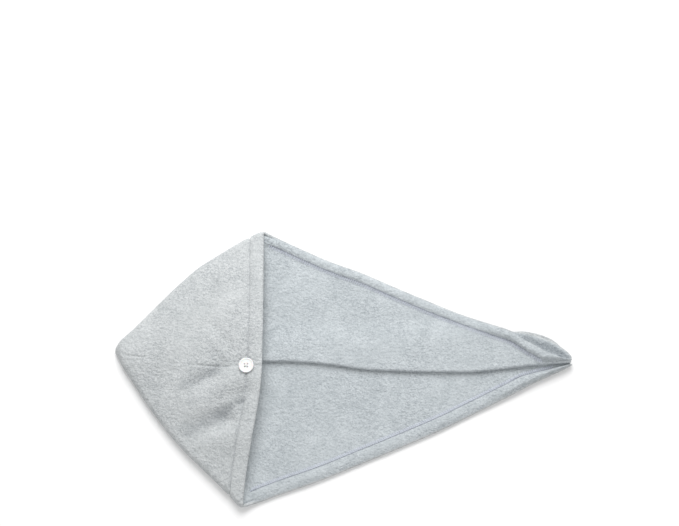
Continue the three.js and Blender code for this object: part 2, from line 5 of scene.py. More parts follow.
import bpy
import numpy as np
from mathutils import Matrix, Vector, noise


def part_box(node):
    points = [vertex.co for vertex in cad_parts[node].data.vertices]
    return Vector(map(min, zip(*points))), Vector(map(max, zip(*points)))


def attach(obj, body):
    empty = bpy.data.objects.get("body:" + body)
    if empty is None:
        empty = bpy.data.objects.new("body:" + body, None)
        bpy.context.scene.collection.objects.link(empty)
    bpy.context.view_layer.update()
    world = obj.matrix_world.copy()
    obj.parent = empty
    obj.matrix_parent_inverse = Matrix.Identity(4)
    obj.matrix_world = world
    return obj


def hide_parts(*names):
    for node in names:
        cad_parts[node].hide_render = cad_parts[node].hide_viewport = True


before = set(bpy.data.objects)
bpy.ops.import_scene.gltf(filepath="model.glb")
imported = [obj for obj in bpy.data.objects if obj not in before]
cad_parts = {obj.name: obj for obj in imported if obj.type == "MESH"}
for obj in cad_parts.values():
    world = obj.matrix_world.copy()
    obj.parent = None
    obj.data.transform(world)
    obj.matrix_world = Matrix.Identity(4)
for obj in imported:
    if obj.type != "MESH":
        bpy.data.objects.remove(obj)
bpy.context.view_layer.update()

MM = 0.001

# Sizes of the towel in millimetres. They are the part's own, except for the softer hem and corner,
# the rolled tip and a rounder nose, which only this dressed cloth has.

HOOD_LENGTH = 204
TAIL_LENGTH = 433
UPPER_REACH = 191
LOWER_REACH = 199
RIM_LEAN = 18.6
RIM_BOW = 3.4
CLOTH = 2.6
LAYER_GAP = 0.6
FOLD_RADIUS = 5.7
RIM_HEM = 18
UPPER_HEM = 14
LOWER_HEM = 18
FOLDED_HEM = 0.6
HEM_STEP = 8
NOSE_RADIUS = 0.8
RADIUS_SHARE = 0.17
UPPER_TURN_SHARE = 0.25
LOWER_TURN_SHARE = 0.3
NOSE_PINCH = 0.25
PINCH_ENDS = 0.06
NOSE_ENDS = 0.04
NOSE_BLEND = 0.25
CORNER_OPENS_OVER = 24
PLEAT_DEPTH = 52
PLEAT_SLOPE = 45
PLEAT_TURNS_FROM = 0.3
PLEAT_TURNS_OVER = 0.4
PLEAT_DEEPENS_FROM = 0.65
PLEAT_DEEPENS_OVER = 0.35
PLEAT_UNTURNED = 3.2
FOLD_AT_NOSE = 2
LEAST_FOLD = 0.8
POCKET_RISE = 15
RISE_POWER = 0.44
CREASE_HEIGHT = 4
SEAM_GROOVE = 1.7
SEAM_WIDTH = 10
TIP_SLOPE = 90
BUTTON_DIAMETER = 21
BUTTON_FROM_RIM = 21.5
PRESSED_IN = 1.6
HEM_ROLL = 1.5
TIP_ROLL = 3.5
TIP_LIP = 3.0
TIP_HEM = 2.5
TIP_HEM_FROM = 340
TIP_HEM_OVER = 50
FAR_FROM_HEM = 100
TIP_ROLL_FROM = 500
TIP_ROLL_OVER = 70
LOOP_CORD = 2
LOOP_LENGTH = 48
LOOP_WIDTH = 15
LOOP_FROM_TIP = 5
CLEARANCE = 0.3
STEEPEST = 1.8

# How much of the room beside it a hem may take, and how far its columns reach past it
UPPER_HEM_ROOM = 0.94
LOWER_HEM_ROOM = 0.6
PAST_HEM = 8.0
PAST_HEM_ROOM = 0.22
PAST_HEM_REST = 0.6
PAST_TURN = 1.3
COLUMN_SPREAD = 0.9

# The rolled hem's form across, its sunken stitch line and the cloth's soft unevenness
ROLL_LEAN = 0.75
FLAT_ROLL_EDGE = 2.6
FLAT_ROLL_CROWN = 0.6
ROLL_FLATTENS_OVER = 6
BEHIND_EDGE = 4
BEHIND_LOSS = 0.8
# Painted shade behind the tip's roll fades in over this distance from the edge
PAINTED_SHADE_OVER = 5
OUTER_ROLL = 0.8
SUNK_WIDTH = 1.5
SUNK_OUTSIDE = 2.2
SUNK_INSIDE = 0.25
SUNK_MORE_AT_TIP = 5
SWELLS = ((0.5, 34, 3.1), (0.3, 13, 7.7))
OUTER_SWELL = 0.5
INNER_SWELL = 0.4
PUCKER = (0.35, 7, 12.3)
PUCKER_WIDTH = 6
LIP_OVER = 8
LIP_WIDTH = 12

# The pile's colour is darkened as painted shade in the dents and behind the tip's roll, where shade falls
# on them
PAINTED_SHADE_BEHIND_ROLL = 1.0
PAINTED_SHADE_TINT = (0.74, 0.75, 0.765, 1)
FAR_END_LOSS = 0.35

TURN_RADIUS = (CLOTH + LAYER_GAP) / 2
HALF_CLOTH = CLOTH / 2
LENGTH = HOOD_LENGTH + TAIL_LENGTH
TIP_LIFT = LOOP_CORD + CLEARANCE
SHIFT = np.array([-LENGTH / 2, (LOWER_REACH - UPPER_REACH) / 2, 0.0])


def table(names, rows):
    """A table's columns by name, with the slope at each row."""
    values = np.array(rows, float)
    columns = {name: values[:, k] for k, name in enumerate(names)}
    before = np.maximum(np.arange(len(rows)) - 1, 0)
    after = np.minimum(np.arange(len(rows)) + 1, len(rows) - 1)
    run = columns["at"][after] - columns["at"][before]
    slopes = {name: (column[after] - column[before]) / run for name, column in columns.items()}
    return SimpleNamespace(values=columns, slopes=slopes)


# The hood from nose to rim, in shares of the reaches
HOOD = table(("at", "upper", "lower", "seam", "fold"), [
    (0.0, 0.112, -0.048, -0.08, -0.075),
    (0.023, 0.147, -0.018, -0.062, -0.065),
    (0.06, 0.184, 0.044, -0.04, -0.05),
    (0.12, 0.247, 0.122, -0.024, -0.04),
    (0.25, 0.392, 0.29, 0.0, -0.03),
    (0.4, 0.562, 0.466, 0.028, -0.02),
    (0.55, 0.71, 0.618, 0.047, -0.012),
    (0.7, 0.818, 0.746, 0.056, -0.007),
    (0.85, 0.92, 0.872, 0.057, -0.002),
    (0.96, 0.982, 0.97, 0.055, 0.001),
    (0.984, 0.9925, 0.9905, 0.0545, 0.002),
    (1.0, 0.998, 1.0, 0.054, 0.003),
])

# The tail from rim to tip
TAIL = table(("at", "upper", "lower", "fold", "depth"), [
    (0.0, 0.998, 1.0, 0.003, 0.3),
    (0.008, 1.0, 0.9985, 0.0035, 0.31),
    (0.022, 0.989, 0.991, 0.004, 0.32),
    (0.11, 0.892, 0.919, 0.006, 0.38),
    (0.23, 0.767, 0.825, 0.028, 0.47),
    (0.33, 0.682, 0.734, 0.06, 0.55),
    (0.45, 0.559, 0.624, 0.073, 0.65),
    (0.58, 0.43, 0.5, 0.08, 0.77),
    (0.69, 0.324, 0.381, 0.078, 0.88),
    (0.82, 0.221, 0.236, 0.05, 1.0),
    (0.88, 0.19, 0.165, 0.036, 0.93),
    (0.945, 0.135, 0.098, 0.024, 0.7),
    (0.982, 0.078, 0.06, 0.017, 0.4),
    (1.0, 0.044, 0.042, 0.014, 0.22),
])

# Creases and swells of the pocket: along, across, to along, to across, width, height
CREASES = [
    (0.82, -0.03, 0.58, -0.17, 0.05, -0.8),
    (0.93, -0.26, 0.78, -0.42, 0.06, -0.8),
    (0.78, -0.42, 0.52, -0.51, 0.075, -1.0),
    (0.9, -0.13, 0.62, -0.32, 0.055, 0.7),
    (0.93, -0.55, 0.63, -0.64, 0.07, 0.6),
    (0.39, -0.1, 0.35, -0.2, 0.05, -0.5),
    (0.81, 0.06, 0.66, 0.26, 0.045, -0.5),
    (0.45, 0.33, 0.42, 0.09, 0.07, 0.4),
]

# Finer dents and swells of the pocket: from x, y to x, y, width and height in millimetres
DENTS = [
    (136, -28, 104, -46, 8, -2.4),
    (166, -24, 143, -43, 6, 1.3),
    (160, -62, 114, -76, 9, 2.2),
    (164, -88, 112, -108, 9, -3.0),
    (182, -60, 164, -70, 4, -1.2),
    (172, -48, 146, -58, 5, -1.0),
    (172, -98, 146, -112, 9, 1.3),
    (152, -6, 141, 9, 3.5, -1.5),
    (136, 8, 122, 40, 9, -1.1),
    (112, 44, 128, 84, 12, -0.9),
    (166, 70, 160, 120, 10, 0.8),
    (60, -22, 52, -48, 8, -1.3),
    (78, 22, 70, 62, 12, 0.8),
]

# Painted shade on the pocket, where its dents lie in shade: from x, y to x, y, width and strength
PAINTED_SHADE_LINES = [
    (142, -17, 104, -37, 8, 0.7),
    (158, -74, 108, -98, 9, 1.0),
    (184, -57, 166, -66, 4, 0.6),
    (158, -50, 112, -60, 6, 0.4),
    (49, -29, 64, -41, 10, 0.35),
    (150, 4, 140, 14, 8, 0.3),
]

# Along the tail, how far the rolled hem lies in from the upper edge
ROLL_BACK = (
    (0.805, 0.825, 0.862, 0.928, 0.975, 0.99, 1.0),
    (0.0, 2.0, 9.0, 16.0, 12.0, 7.0, 3.5),
)

# Along the hood, how much of the seam's groove shows
SEAM_DEPTH = (
    (0.03, 0.08, 0.2, 0.34, 0.55, 0.61, 0.78, 0.84, 1.0),
    (0.0, 0.6, 0.45, 0.2, 0.25, 1.0, 1.0, 0.5, 0.6),
)

# How finely the cloth is cut
HOOD_ROWS = 48
RIM_ROWS = 20
RIM_FINE = 26
TAIL_ROWS = 134
FOLD_COLUMNS = 7
EDGE_COLUMNS = 15
UPPER_COLUMNS = 45
TURN_STEPS = 8
STRAIGHT_STEPS = 7
LOWER_COLUMNS = 50
ROUND_STEPS = 6


def clamp(value, low, high):
    return min(max(value, low), high)


def lerp(a, b, t):
    return a + (b - a) * t


def smooth(value):
    t = np.clip(value, 0.0, 1.0)
    return t * t * (3 - 2 * t)


def curve(rows, name, at):
    """A smooth value between the rows of a table."""
    places = rows.values["at"]
    values = rows.values[name]
    slopes = rows.slopes[name]
    place = clamp(at, 0.0, 1.0)
    k = clamp(int(np.searchsorted(places, place)) - 1, 0, len(places) - 2)
    span = places[k + 1] - places[k]
    t = (place - places[k]) / span
    t2 = t * t
    t3 = t2 * t
    return float(
        (2 * t3 - 3 * t2 + 1) * values[k] + (t3 - 2 * t2 + t) * span * slopes[k]
        + (3 * t2 - 2 * t3) * values[k + 1] + (t3 - t2) * span * slopes[k + 1]
    )


def section(station):
    """The named places of one section: 0 at the nose, 1 at the rim, 2 at the tip."""
    in_hood = station <= 1
    rows = HOOD if in_hood else TAIL
    at = station if in_hood else station - 1
    span = HOOD_LENGTH if in_hood else TAIL_LENGTH

    def outline(name, reach):
        step = 0.01
        rise = curve(rows, name, at + step) - curve(rows, name, at - step)
        run = (min(at + step, 1) - max(at - step, 0)) * span
        return curve(rows, name, at) * reach, min(math.hypot(1, rise * reach / run), STEEPEST)

    upper, upper_slant = outline("upper", UPPER_REACH)
    lower, lower_slant = outline("lower", LOWER_REACH)
    opened = 0.0 if in_hood else float(smooth(at * TAIL_LENGTH / CORNER_OPENS_OVER))
    inset = lerp(HALF_CLOTH, CLOTH, opened)
    top = upper - inset * upper_slant
    bottom = -lower + inset * lower_slant
    width = top - bottom
    radius = min(FOLD_RADIUS, width * RADIUS_SHARE + NOSE_RADIUS)
    past_loop = TAIL_LENGTH - LOOP_FROM_TIP - LOOP_LENGTH - TIP_SLOPE - LOOP_CORD
    return SimpleNamespace(
        in_hood=in_hood, at=at, opened=opened, top=top, bottom=bottom, width=width, radius=radius,
        upper_turn=min(radius * upper_slant, width * UPPER_TURN_SHARE),
        lower_turn=min(radius * lower_slant, width * LOWER_TURN_SHARE),
        x=(HALF_CLOTH + at * (HOOD_LENGTH - CLOTH - HALF_CLOTH)) if in_hood
        else HOOD_LENGTH - CLOTH + at * TAIL_LENGTH,
        lean=at if in_hood else 1 - at,
        fold=-curve(rows, "fold", at) * LOWER_REACH,
        seam=-curve(HOOD, "seam", at if in_hood else 1) * LOWER_REACH,
        depth=(at * TAIL.values["depth"][0] if in_hood else curve(TAIL, "depth", at)) * PLEAT_DEPTH,
        lift=0.0 if in_hood else float(TIP_LIFT * smooth((at * TAIL_LENGTH - past_loop) / TIP_SLOPE)),
    )


def x_across(part, y):
    """The rim bows out a little and leans back to the lower corner."""
    across = np.clip((part.top - y) / part.width, 0, 1)
    return part.x + part.lean * (RIM_BOW * np.sin(np.pi * across) - RIM_LEAN * smooth(2 * across - 1))


def hidden_slant(at):
    """How steeply the pleat's hidden fold runs, as a stretch of its turn in plan."""
    step = 0.015

    def place(share):
        return curve(TAIL, "depth", share) * PLEAT_DEPTH - curve(TAIL, "fold", share) * LOWER_REACH

    run = (min(at + step, 1) - max(at - step, 0)) * TAIL_LENGTH
    return min(math.hypot(1, (place(at + step) - place(at - step)) / run), STEEPEST)


def pleat(part):
    """The Z fold in the back layer: places (y, z) from the upper panel's end to the lower panel."""
    slant = 1.0 if part.in_hood else hidden_slant(part.at)
    turned = float(smooth((part.at - PLEAT_TURNS_FROM) / PLEAT_TURNS_OVER)) if part.in_hood else 1.0
    angle = math.pi * turned
    flat_step = PLEAT_UNTURNED / TURN_STEPS * (1 - turned)
    deepest = max(part.depth - (1 + slant) * (TURN_RADIUS + HALF_CLOTH), LEAST_FOLD)
    deepening = float(smooth((part.at - PLEAT_DEEPENS_FROM) / PLEAT_DEEPENS_OVER))
    straight = lerp(FOLD_AT_NOSE, deepest, deepening) if part.in_hood else deepest
    step = 2 * TURN_RADIUS * math.sin(angle / TURN_STEPS / 2) + flat_step
    moves = [(step, angle * (k + 0.5) / TURN_STEPS, 1.0) for k in range(TURN_STEPS)]
    moves += [(straight / STRAIGHT_STEPS, angle, 1.0)] * STRAIGHT_STEPS
    moves += [(step, angle * (k + 0.5) / TURN_STEPS, slant) for k in reversed(range(TURN_STEPS))]
    places = [(part.fold + HALF_CLOTH + TURN_RADIUS, 0.0)]
    for length, heading, stretch in moves:
        y, z = places[-1]
        places.append((y - stretch * length * math.cos(heading), z - length * math.sin(heading)))
    places = np.array(places)
    height = -places[-1, 1]
    places[:, 1] += height
    return places, height, places[:, 0].max() + HALF_CLOTH * slant


def edge_insets(part, turn, hem, room):
    """Distances of the edge's columns from it, in plan: the hood's fold opens to the tail's hem."""
    beyond = min(PAST_HEM, PAST_HEM_ROOM * room, PAST_HEM_REST * (room - hem))
    turned = turn * (1 - np.cos(np.linspace(0, math.pi / 2, FOLD_COLUMNS)))
    last = max(hem, PAST_TURN * turn) + beyond
    rest = np.linspace(turn, last, EDGE_COLUMNS - FOLD_COLUMNS + 1)[1:]
    fold = np.concatenate([turned, rest])
    flat = (hem + beyond) * np.linspace(0, 1, EDGE_COLUMNS) ** COLUMN_SPREAD
    return lerp(fold, flat, part.opened)


def turn_height(part, turn, inset):
    """Height over the panel of the fold's quarter turn, at a distance from the edge."""
    u = np.clip(inset / turn, 0, 1)
    return part.radius * (1 - part.opened) * (1 - np.sqrt(1 - (1 - u) ** 2))


def spread_at_nose(part, y):
    """Blends the columns into evenly spaced ones towards the nose, where there is no room."""
    own = float(smooth((part.at - NOSE_ENDS) / NOSE_BLEND)) if part.in_hood else 1.0
    first = FOLD_COLUMNS - 1
    inner = y[first:len(y) - first]
    y[first:len(y) - first] = lerp(np.linspace(inner[0], inner[-1], len(inner)), inner, own)
    return y


def behind_roll(part):
    """Width of the cloth that shows behind the rolled hem near the tip."""
    return 0.0 if part.in_hood else float(np.interp(part.at, ROLL_BACK[0], ROLL_BACK[1]))


def back_columns(part):
    """y, z, distance from the edge and hem width of the back layer's columns, top edge first."""
    places, height, hidden = pleat(part)
    upper_room = part.top - places[0, 0]
    lower_room = part.fold - part.bottom
    near_tip = float(smooth((part.at * TAIL_LENGTH - TIP_HEM_FROM) / TIP_HEM_OVER))
    tip_hem = 0.0 if part.in_hood else TIP_HEM * near_tip
    upper_hem = lerp(RIM_HEM, UPPER_HEM, part.opened) + behind_roll(part) + tip_hem
    upper_hem = min(upper_hem, UPPER_HEM_ROOM * upper_room)
    lower_hem = min(lerp(RIM_HEM, LOWER_HEM, part.opened), LOWER_HEM_ROOM * lower_room)
    upper = edge_insets(part, part.upper_turn, upper_hem, upper_room)
    lower = edge_insets(part, part.lower_turn, lower_hem, lower_room)
    over = np.linspace(part.top - upper[-1], places[0, 0], UPPER_COLUMNS + 2)[1:-1]
    under = np.linspace(places[-1, 0], part.bottom + lower[-1], LOWER_COLUMNS + 2)[1:-1]

    def settled(y):
        """Height of the upper panel, which comes down from the pleat to the surface."""
        return height * (1 - smooth((y - hidden - TURN_RADIUS) / PLEAT_SLOPE))

    y = np.concatenate([part.top - upper, over, places[:, 0], under, part.bottom + lower[::-1]])
    z = np.concatenate([
        turn_height(part, part.upper_turn, upper) + settled(part.top - upper),
        settled(over),
        places[:, 1],
        np.zeros(LOWER_COLUMNS),
        turn_height(part, part.lower_turn, lower[::-1]),
    ])
    half = len(y) // 2
    inset = np.concatenate([part.top - y[:half], y[half:] - part.bottom])
    pleated = slice(EDGE_COLUMNS + UPPER_COLUMNS, len(y) - EDGE_COLUMNS - LOWER_COLUMNS)
    inset[pleated] = np.maximum(inset[pleated], FAR_FROM_HEM)
    hem = np.concatenate([np.full(half, upper_hem), np.full(len(y) - half, lower_hem)])
    return spread_at_nose(part, y), z, inset, hem


COLUMNS = 2 * EDGE_COLUMNS + UPPER_COLUMNS + LOWER_COLUMNS + 2 * TURN_STEPS + STRAIGHT_STEPS + 1


def button_place():
    at = 1 - BUTTON_FROM_RIM / HOOD_LENGTH
    return HOOD_LENGTH + RIM_BOW - BUTTON_FROM_RIM, -curve(HOOD, "seam", at) * LOWER_REACH


def beside_line(x, y, start, end):
    """How far along a line each place lies, as a share of it, and how far from it."""
    line_x, line_y = end[0] - start[0], end[1] - start[1]
    dx, dy = x - start[0], y - start[1]
    share = np.clip((dx * line_x + dy * line_y) / (line_x ** 2 + line_y ** 2), 0, 1)
    return share, np.hypot(dx - share * line_x, dy - share * line_y)


def pocket_height(part, x, y):
    """Height of the pocket's upper layer above the back layer, at the middle of the cloth."""
    across = np.clip((part.top - y) / part.width, 0, 1)
    height = 2 * part.radius + POCKET_RISE * part.at ** RISE_POWER * np.sin(np.pi * across)
    fade = smooth(4 * across) * smooth(4 - 4 * across) * smooth(4 * part.at)
    for along, across_at, to_along, to_across, width, lift in CREASES:
        start = (along * HOOD_LENGTH, across_at * UPPER_REACH)
        end = (to_along * HOOD_LENGTH, to_across * UPPER_REACH)
        away = beside_line(x, y, start, end)[1] / (width * HOOD_LENGTH)
        height = height + fade * CREASE_HEIGHT * lift * np.exp(-away ** 2)
    button_x, button_y = button_place()
    pressed = np.hypot(x - button_x, y - button_y) / BUTTON_DIAMETER
    return height - PRESSED_IN * np.exp(-2 * pressed ** 2)


def along_lines(lines, x, y):
    """The sum of soft ridges along lines, each a little weaker towards its far end."""
    total = np.zeros_like(x)
    for from_x, from_y, to_x, to_y, width, strength in lines:
        share, distance = beside_line(x, y, (from_x, from_y), (to_x, to_y))
        away = distance / width
        total += strength * (1 - FAR_END_LOSS * share) * np.exp(-away ** 2)
    return total


def fine_dents(part, x, y):
    """The softer folds of the pocket's upper layer that lie over its main creases."""
    across = np.clip((part.top - y) / part.width, 0, 1)
    fade = smooth(5 * across) * smooth(5 - 5 * across)
    return fade * along_lines(DENTS, x, y)


def groove_at(offset):
    away = np.abs(offset) / (SEAM_WIDTH / 2)
    return -SEAM_GROOVE * np.exp(-9 * away ** 2) + SEAM_GROOVE * 0.25 * np.exp(-2 * away ** 2)


def front_columns(part):
    """y and z of the pocket's upper layer, top edge first."""
    half = COLUMNS // 2
    towards = np.linspace(0, 1, half - FOLD_COLUMNS + 2)[1:]
    towards = 1.6 * towards - 0.6 * towards ** 2
    turned = 1 - np.cos(np.linspace(0, math.pi / 2, FOLD_COLUMNS))

    def side(edge, turn, sign):
        start = edge - sign * turn
        return np.concatenate([edge - sign * turn * turned, lerp(start, part.seam, towards)])

    upper = side(part.top, part.upper_turn, 1)
    lower = side(part.bottom, part.lower_turn, -1)
    y = np.concatenate([upper, lower[::-1][1:]])
    y = spread_at_nose(part, y)
    x = x_across(part, y)
    height = pocket_height(part, x, y) + fine_dents(part, x, y)
    groove = groove_at(y - part.seam) * float(np.interp(part.at, *SEAM_DEPTH))
    z = height + groove
    z = z - turn_height(part, part.upper_turn, part.top - y)
    z = z - turn_height(part, part.lower_turn, y - part.bottom)
    return y, z


def unit(vectors):
    length = np.linalg.norm(vectors, axis=-1, keepdims=True)
    return vectors / np.maximum(length, 1e-12)


def gone_along(places):
    """The length gone from a line's first place to each of its places."""
    return np.concatenate([[0], np.cumsum(np.linalg.norm(np.diff(places, axis=0), axis=1))])


def middle_surface():
    """The cloth's middle surface: grids of point numbers for both layers, and facts of each point."""
    fine_from = 1 - RIM_FINE / HOOD_LENGTH
    coarse = fine_from * np.linspace(0, 1, HOOD_ROWS, endpoint=False) ** 1.2
    fine = np.linspace(fine_from, 1, RIM_ROWS + 1)
    tail = 2 - (1 - np.linspace(0, 1, TAIL_ROWS + 1)[1:]) ** 1.1
    stations = np.concatenate([coarse, fine, tail])
    hood_rows = len(coarse) + len(fine)
    points, free, line, folded, pinch, rolled_from, painted_dent_shade = [], [], [], [], [], [], []
    back = np.arange(len(stations) * COLUMNS).reshape(len(stations), COLUMNS)
    front = np.zeros((hood_rows, COLUMNS), int)
    fronts = []
    for row, station in enumerate(stations):
        part = section(station)
        y, z, inset, hem = back_columns(part)
        x = x_across(part, y)
        points.append(np.stack([x, y, z + HALF_CLOTH + part.lift], axis=1))
        to_rim = (1 - part.at) * HOOD_LENGTH if part.in_hood else 0.0
        free.append(np.hypot(to_rim, inset) if part.in_hood else inset)
        line.append(np.full(COLUMNS, float(RIM_HEM)) if part.in_hood else hem)
        rolled_from.append(np.where(np.arange(COLUMNS) < COLUMNS // 2, behind_roll(part), 0.0))
        turn = np.where(np.arange(COLUMNS) < COLUMNS // 2, part.upper_turn, part.lower_turn)
        folded.append(lerp(FOLDED_HEM, 1, np.maximum(part.opened, smooth(inset / turn))))
        squeeze = NOSE_PINCH * (1 - float(smooth(part.at / PINCH_ENDS))) if part.in_hood else 0.0
        pinch.append(np.full(COLUMNS, squeeze))
        # The back layer gets no painted shade from the dents
        painted_dent_shade.append(np.zeros(COLUMNS))
        if row < hood_rows:
            y, z = front_columns(part)
            x = x_across(part, y)
            inset = np.minimum(part.top - y, y - part.bottom)
            # The pocket's facts end with its painted shade along the dents
            facts = [
                to_rim * np.ones(COLUMNS), np.full(COLUMNS, float(RIM_HEM)),
                lerp(FOLDED_HEM, 1, smooth(inset / turn)), np.full(COLUMNS, squeeze),
                np.zeros(COLUMNS), np.clip(along_lines(PAINTED_SHADE_LINES, x, y), 0, 1),
            ]
            fronts.append((np.stack([x, y, z + HALF_CLOTH], axis=1), facts))
    total = back.size
    for row, (places, facts) in enumerate(fronts):
        front[row] = np.concatenate([
            [back[row, 0]], total + np.arange(COLUMNS - 2), [back[row, -1]],
        ])
        total += COLUMNS - 2
        points.append(places[1:-1])
        for store, fact in zip((free, line, folded, pinch, rolled_from, painted_dent_shade), facts):
            store.append(fact[1:-1])
    return SimpleNamespace(
        points=np.concatenate(points), free=np.concatenate(free), line=np.concatenate(line),
        folded=np.concatenate(folded), pinch=np.concatenate(pinch), rolled_from=np.concatenate(rolled_from),
        painted_dent_shade=np.concatenate(painted_dent_shade),
        back=back, front=front, stations=stations, hood_rows=hood_rows,
    )


def layer_faces(grid, outward):
    """Quads of one layer; outward turns them to face away from the wearer."""
    a, b, c, d = grid[:-1, :-1], grid[1:, :-1], grid[1:, 1:], grid[:-1, 1:]
    corners = (a, b, c, d) if outward else (a, d, c, b)
    return np.stack([corner.ravel() for corner in corners], axis=1)


def point_normals(points, faces):
    a, b, c, d = (points[faces[:, k]] for k in range(4))
    across = np.cross(c - a, d - b)
    normals = np.zeros_like(points)
    for k in range(4):
        np.add.at(normals, faces[:, k], across)
    return unit(normals)


def lumps(points, wavelength, seed):
    """Seeded soft noise between -1 and 1 at each point."""
    at = points / wavelength + seed
    return np.array([noise.noise(Vector(place)) for place in at])


def cloth_grids():
    """Points of the cloth's two faces, dressed with hem, sunken stitch lines and soft unevenness."""
    sheet = middle_surface()
    strip = np.stack([
        sheet.back[0, :-1], sheet.back[0, 1:], sheet.front[0, 1:], sheet.front[0, :-1],
    ], axis=1)
    faces = np.concatenate([layer_faces(sheet.back, True), layer_faces(sheet.front, False), strip])
    normals = point_normals(sheet.points, faces)
    across_hem = np.clip((sheet.free - sheet.rolled_from) / (sheet.line - sheet.rolled_from), 0, 1)
    plain_roll = np.sin(np.pi * across_hem ** ROLL_LEAN)
    flat_roll = np.clip(1 - np.abs(2 * across_hem - 1) ** FLAT_ROLL_EDGE, 0, 1) ** FLAT_ROLL_CROWN
    roll = lerp(plain_roll, flat_roll, smooth(sheet.rolled_from / ROLL_FLATTENS_OVER))
    hem = (1 - smooth((sheet.free - sheet.line) / HEM_STEP + 0.5)) * sheet.folded
    behind = (1 - smooth((sheet.free - sheet.rolled_from) / BEHIND_EDGE + 0.5)) * (sheet.rolled_from > 0)
    hem = hem * (1 - BEHIND_LOSS * behind)
    tip = smooth((sheet.points[:, 0] - TIP_ROLL_FROM) / TIP_ROLL_OVER)
    sunk = np.exp(-((sheet.free - sheet.line) / SUNK_WIDTH) ** 2)
    is_front = np.zeros(len(sheet.points))
    is_front[sheet.front[:, 1:-1].ravel()] = 1
    (coarse, wide, first_seed), (fine, narrow, second_seed) = SWELLS
    swell = coarse * lumps(sheet.points, wide, first_seed) + fine * lumps(sheet.points, narrow, second_seed)
    rise, wavelength, seed = PUCKER
    near_line = np.exp(-((sheet.free - sheet.line) / PUCKER_WIDTH) ** 2)
    pucker = rise * lumps(sheet.points, wavelength, seed) * near_line
    facing_down = np.clip(-normals[:, 2] * 4 - 2, 0, 1) * (1 - is_front)
    outer_rise = OUTER_ROLL * roll * hem - SUNK_OUTSIDE * sunk + OUTER_SWELL * swell + pucker
    outer_rise = outer_rise * (1 - facing_down)
    inner_rise = (HEM_ROLL + TIP_ROLL * tip) * roll * hem
    inner_rise = inner_rise - SUNK_INSIDE * sunk * (1 + SUNK_MORE_AT_TIP * tip)
    inner_rise = inner_rise + INNER_SWELL * swell + pucker
    outer = sheet.points + normals * (HALF_CLOTH + outer_rise)[:, None]
    outer[:, 2] = np.maximum(outer[:, 2], 0.0)
    lip = TIP_LIP * (sheet.rolled_from > 0) * smooth(sheet.rolled_from / LIP_OVER)
    lip = lip * (1 - smooth(sheet.free / LIP_WIDTH))
    depth = HALF_CLOTH + (hem - sheet.pinch) * CLOTH + inner_rise + lip
    inner = sheet.points - normals * depth[:, None]
    # Painted shade on the inside face just behind the tip's rolled hem
    inner_painted_shade = PAINTED_SHADE_BEHIND_ROLL * behind * smooth(sheet.free / PAINTED_SHADE_OVER)
    return sheet, faces, normals, outer, inner, inner_painted_shade


def rim_loop(sheet):
    """Point numbers along the cloth's free edge, with the outside on the same hand all the way."""
    rim = sheet.hood_rows - 1
    return np.concatenate([
        sheet.back[rim:-1, 0], sheet.back[-1, :-1], sheet.back[-1:rim:-1, -1], sheet.front[rim, :0:-1],
    ])


def new_object(name, vertices, faces, material, attributes=None):
    """A smooth-shaded mesh object from points in millimetres of the towel's own plan."""
    mesh = bpy.data.meshes.new(name)
    mesh.from_pydata(((np.asarray(vertices) + SHIFT) * MM).tolist(), [], [list(face) for face in faces])
    for key, values in (attributes or {}).items():
        layer = mesh.attributes.new(key, "FLOAT", "POINT")
        layer.data.foreach_set("value", np.asarray(values, np.float32))
    mesh.validate()
    mesh.shade_smooth()
    mesh.materials.append(material)
    obj = bpy.data.objects.new(name, mesh)
    bpy.context.scene.collection.objects.link(obj)
    return obj


def closed_cloth(sheet, faces, normals, outer, inner, inner_painted_shade):
    """Joins the two faces by a half round along the free edge."""
    loop = rim_loop(sheet)
    run = unit(np.roll(sheet.points[loop], -1, axis=0) - np.roll(sheet.points[loop], 1, axis=0))
    outward = unit(np.cross(run, normals[loop]))
    centre = (outer[loop] + inner[loop]) / 2
    arm = outer[loop] - centre
    reach = np.linalg.norm(arm, axis=1, keepdims=True)
    count = len(sheet.points)
    rings = [loop]
    vertices = [outer, inner]
    for k in range(1, ROUND_STEPS):
        angle = math.pi * k / ROUND_STEPS
        vertices.append(centre + arm * math.cos(angle) + outward * reach * math.sin(angle))
        rings.append(2 * count + (k - 1) * len(loop) + np.arange(len(loop)))
    rings.append(count + loop)
    quads = [faces, (faces + count)[:, ::-1]]
    for one, two in zip(rings[:-1], rings[1:]):
        quads.append(np.stack([np.roll(one, -1), one, two, np.roll(two, -1)], axis=1))
    quads = np.concatenate(quads)
    vertices = np.concatenate(vertices)
    inside = np.zeros(len(vertices))
    inside[count:2 * count] = 1
    # Painted shade of the dents and behind the roll, also used to make the pile's specks show more there
    crush_and_painted_shade = np.concatenate([sheet.painted_dent_shade, inner_painted_shade, np.zeros(len(vertices) - 2 * count)])
    tidy = [[v for k, v in enumerate(quad) if v != quad[k - 1]] for quad in quads.tolist()]
    return vertices, tidy, {"inside": inside, "crush_and_painted_shade": crush_and_painted_shade}


# Materials

def node_tree(name):
    material = bpy.data.materials.new(name)
    material.use_nodes = True
    tree = material.node_tree
    return material, tree, tree.nodes["Principled BSDF"]


def add_node(tree, kind, inputs=None, **settings):
    node = tree.nodes.new(kind)
    for key, value in settings.items():
        setattr(node, key, value)
    for key, value in (inputs or {}).items():
        socket = node.inputs[key]
        if isinstance(value, bpy.types.NodeSocket):
            tree.links.new(value, socket)
        else:
            socket.default_value = value
    return node


def add_noise(tree, vector, scale, detail, roughness=0.55, distortion=0.0):
    node = add_node(tree, "ShaderNodeTexNoise", {
        "Vector": vector, "Scale": scale, "Detail": detail, "Roughness": roughness,
        "Distortion": distortion,
    })
    return node.outputs["Fac"]


